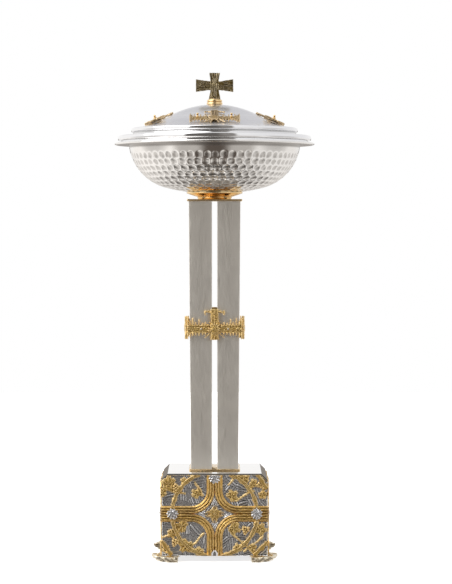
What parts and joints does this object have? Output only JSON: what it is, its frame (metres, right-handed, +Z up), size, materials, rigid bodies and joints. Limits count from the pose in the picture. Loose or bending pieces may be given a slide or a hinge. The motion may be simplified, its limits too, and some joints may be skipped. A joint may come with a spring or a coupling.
{
  "type": "portable baptismal font",
  "caption": "Portable baptismal font: square relief base on gilt feet, steel columns with a cast collar, hammered bowl, lift-out basin and domed lid with a cross finial.",
  "frame": {"origin": "on the floor under the axis of the bowl, bottom centre of the part", "axes": "+Z up along the columns; -Y is the front, +X the right side seen from the front"},
  "size_m": [0.434, 0.434, 1.0502],
  "materials": {
    "gilt_casting": "cast, gilt, satin with polished high spots",
    "gilt_polished": "gilt, polished",
    "gilt_bark": "gilt, antiqued, with a vertical bark texture",
    "silver_ground": "chiselled, oxidised silver",
    "bright_stud": "polished, faceted",
    "satin_steel": "satin, vertical grain",
    "mirror_steel": "mirror polished",
    "hammered_silver": "silvered, hammered, satin",
    "satin_silver": "silvered, satin polished",
    "inner_steel": "plain steel",
    "fastener_steel": "turned"
  },
  "bodies": {
    "stand": {"foot_front_left": "gilt_casting", "foot_front_right": "gilt_casting", "foot_rear_right": "gilt_casting", "foot_rear_left": "gilt_casting", "foot_screws": "fastener_steel", "floor_plate": "inner_steel", "base_shell": "inner_steel", "panel_front": "silver_ground", "panel_right": "silver_ground", "panel_rear": "silver_ground", "panel_left": "silver_ground", "cross_front": "gilt_casting", "cross_right": "gilt_casting", "cross_rear": "gilt_casting", "cross_left": "gilt_casting", "vine_front": "gilt_casting", "vine_right": "gilt_casting", "vine_rear": "gilt_casting", "vine_left": "gilt_casting", "lozenge_front": "gilt_casting", "lozenge_right": "gilt_casting", "lozenge_rear": "gilt_casting", "lozenge_left": "gilt_casting", "cross_studs": "bright_stud", "panel_screws": "fastener_steel", "base_top": "mirror_steel", "column_base_plate": "gilt_polished", "column_front_left": "satin_steel", "column_front_right": "satin_steel", "column_rear_right": "satin_steel", "column_rear_left": "satin_steel", "lower_plugs": "inner_steel", "upper_plugs": "inner_steel", "lower_screws": "fastener_steel", "upper_screws": "fastener_steel", "collar_band": "inner_steel", "collar_plaque_front": "gilt_casting", "collar_plaque_right": "gilt_casting", "collar_plaque_rear": "gilt_casting", "collar_plaque_left": "gilt_casting", "collar_studs": "bright_stud", "column_top_plate": "gilt_polished", "neck_ring": "gilt_polished", "saucer": "gilt_polished", "bowl_bolt": "fastener_steel", "bowl_nut": "fastener_steel", "outer_bowl": "hammered_silver"},
    "basin": {"inner_basin": "satin_silver"},
    "lid": {"lid": "satin_silver", "lid_plaque_front": "gilt_casting", "lid_plaque_right": "gilt_casting", "lid_plaque_rear": "gilt_casting", "lid_plaque_left": "gilt_casting", "lid_studs": "gilt_casting", "lid_nuts": "fastener_steel", "finial_collar": "gilt_polished", "finial_cross": "gilt_bark", "finial_rod": "fastener_steel", "finial_nut": "fastener_steel"}
  },
  "joints": [
    {"name": "basin_lift", "type": "slide", "parent": "stand", "child": "basin", "axis": [0, 0, 1], "range_m": [0, 0.16]},
    {"name": "lid_lift", "type": "slide", "parent": "basin", "child": "lid", "axis": [0, 0, 1], "range_m": [0, 0.3]}
  ]
}
